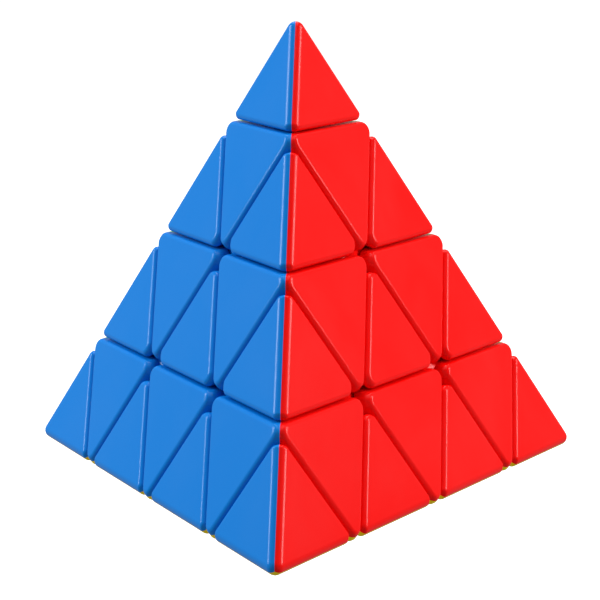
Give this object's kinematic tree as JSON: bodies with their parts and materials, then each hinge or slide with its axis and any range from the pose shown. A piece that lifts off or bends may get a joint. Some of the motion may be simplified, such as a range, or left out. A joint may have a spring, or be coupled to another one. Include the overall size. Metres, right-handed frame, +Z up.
{
  "type": "pyramid twisty puzzle",
  "caption": "Four-layer pyramid twisty puzzle with one colour to a face, turning tips, corner caps and layers on a spring-loaded core.",
  "frame": {"origin": "centre of the bottom (yellow) face, on the plane the puzzle rests on", "axes": "+Z up to the top corner; -Y to the front corner, with the blue face on its -X side and the red face on its +X side"},
  "size_m": [0.1054, 0.0917, 0.0866],
  "materials": {
    "blue_plastic": "satin ABS, moulded in colour",
    "red_plastic": "satin ABS, moulded in colour",
    "green_plastic": "satin ABS, moulded in colour",
    "yellow_plastic": "satin ABS, moulded in colour",
    "core_plastic": "moulded ABS core",
    "screw_steel": "zinc-plated steel",
    "spring_steel": "spring wire"
  },
  "bodies": {
    "base_layer": {"centre_yellow": "yellow_plastic", "core": "core_plastic", "core_screws": "screw_steel", "front_left_middle_blue": "blue_plastic", "front_left_middle_yellow": "yellow_plastic", "front_right_middle_red": "red_plastic", "front_right_middle_yellow": "yellow_plastic", "right_left_middle_green": "green_plastic", "right_left_middle_yellow": "yellow_plastic", "screw_springs": "spring_steel", "screw_washers": "screw_steel"},
    "middle_layer": {"centre_blue": "blue_plastic", "centre_green": "green_plastic", "centre_red": "red_plastic", "upper_middle_blue": "blue_plastic", "upper_middle_green": "green_plastic", "upper_middle_red": "red_plastic"},
    "top_corner": {"top_axial_blue": "blue_plastic", "top_axial_green": "green_plastic", "top_axial_red": "red_plastic", "top_wings_blue": "blue_plastic", "top_wings_green": "green_plastic", "top_wings_red": "red_plastic"},
    "front_corner": {"front_axial_blue": "blue_plastic", "front_axial_red": "red_plastic", "front_axial_yellow": "yellow_plastic", "front_base_wing_blue": "blue_plastic", "front_base_wing_red": "red_plastic", "front_base_wing_yellow": "yellow_plastic"},
    "right_corner": {"right_axial_green": "green_plastic", "right_axial_red": "red_plastic", "right_axial_yellow": "yellow_plastic", "right_base_wing_green": "green_plastic", "right_base_wing_red": "red_plastic", "right_base_wing_yellow": "yellow_plastic"},
    "left_corner": {"left_axial_blue": "blue_plastic", "left_axial_green": "green_plastic", "left_axial_yellow": "yellow_plastic", "left_base_wing_blue": "blue_plastic", "left_base_wing_green": "green_plastic", "left_base_wing_yellow": "yellow_plastic"},
    "front_upper_wing": {"front_upper_wing_blue": "blue_plastic", "front_upper_wing_red": "red_plastic"},
    "right_upper_wing": {"right_upper_wing_green": "green_plastic", "right_upper_wing_red": "red_plastic"},
    "left_upper_wing": {"left_upper_wing_blue": "blue_plastic", "left_upper_wing_green": "green_plastic"},
    "top_tip": {"top_tip_blue": "blue_plastic", "top_tip_green": "green_plastic", "top_tip_red": "red_plastic"},
    "front_tip": {"front_tip_blue": "blue_plastic", "front_tip_red": "red_plastic", "front_tip_yellow": "yellow_plastic"},
    "right_tip": {"right_tip_green": "green_plastic", "right_tip_red": "red_plastic", "right_tip_yellow": "yellow_plastic"},
    "left_tip": {"left_tip_blue": "blue_plastic", "left_tip_green": "green_plastic", "left_tip_yellow": "yellow_plastic"}
  },
  "joints": [
    {"name": "middle_layer_turn", "type": "hinge", "parent": "base_layer", "child": "middle_layer", "pos_m": [0, 0, 0.02245], "axis": [0, 0, 1], "range_deg": [-360, 360]},
    {"name": "top_corner_turn", "type": "hinge", "parent": "middle_layer", "child": "top_corner", "pos_m": [0, 0, 0.02245], "axis": [0, 0, 1], "continuous": true},
    {"name": "front_corner_turn", "type": "hinge", "parent": "base_layer", "child": "front_corner", "pos_m": [0, 0, 0.02245], "axis": [0, -0.9428, -0.3333], "continuous": true},
    {"name": "front_upper_wing_turn", "type": "hinge", "parent": "middle_layer", "child": "front_upper_wing", "pos_m": [0, 0, 0.02245], "axis": [0, -0.9428, -0.3333], "continuous": true},
    {"name": "right_corner_turn", "type": "hinge", "parent": "base_layer", "child": "right_corner", "pos_m": [0, 0, 0.02245], "axis": [0.8165, 0.4714, -0.3333], "continuous": true},
    {"name": "right_upper_wing_turn", "type": "hinge", "parent": "middle_layer", "child": "right_upper_wing", "pos_m": [0, 0, 0.02245], "axis": [0.8165, 0.4714, -0.3333], "continuous": true},
    {"name": "left_corner_turn", "type": "hinge", "parent": "base_layer", "child": "left_corner", "pos_m": [0, 0, 0.02245], "axis": [-0.8165, 0.4714, -0.3333], "continuous": true},
    {"name": "left_upper_wing_turn", "type": "hinge", "parent": "middle_layer", "child": "left_upper_wing", "pos_m": [0, 0, 0.02245], "axis": [-0.8165, 0.4714, -0.3333], "continuous": true},
    {"name": "top_tip_turn", "type": "hinge", "parent": "top_corner", "child": "top_tip", "pos_m": [0, 0, 0.02245], "axis": [0, 0, 1], "continuous": true},
    {"name": "front_tip_turn", "type": "hinge", "parent": "front_corner", "child": "front_tip", "pos_m": [0, 0, 0.02245], "axis": [0, -0.9428, -0.3333], "continuous": true},
    {"name": "right_tip_turn", "type": "hinge", "parent": "right_corner", "child": "right_tip", "pos_m": [0, 0, 0.02245], "axis": [0.8165, 0.4714, -0.3333], "continuous": true},
    {"name": "left_tip_turn", "type": "hinge", "parent": "left_corner", "child": "left_tip", "pos_m": [0, 0, 0.02245], "axis": [-0.8165, 0.4714, -0.3333], "continuous": true}
  ],
  "couplings": [
    {"joint": "front_upper_wing_turn", "follows": "front_corner_turn", "ratio": 1},
    {"joint": "right_upper_wing_turn", "follows": "right_corner_turn", "ratio": 1},
    {"joint": "left_upper_wing_turn", "follows": "left_corner_turn", "ratio": 1}
  ]
}
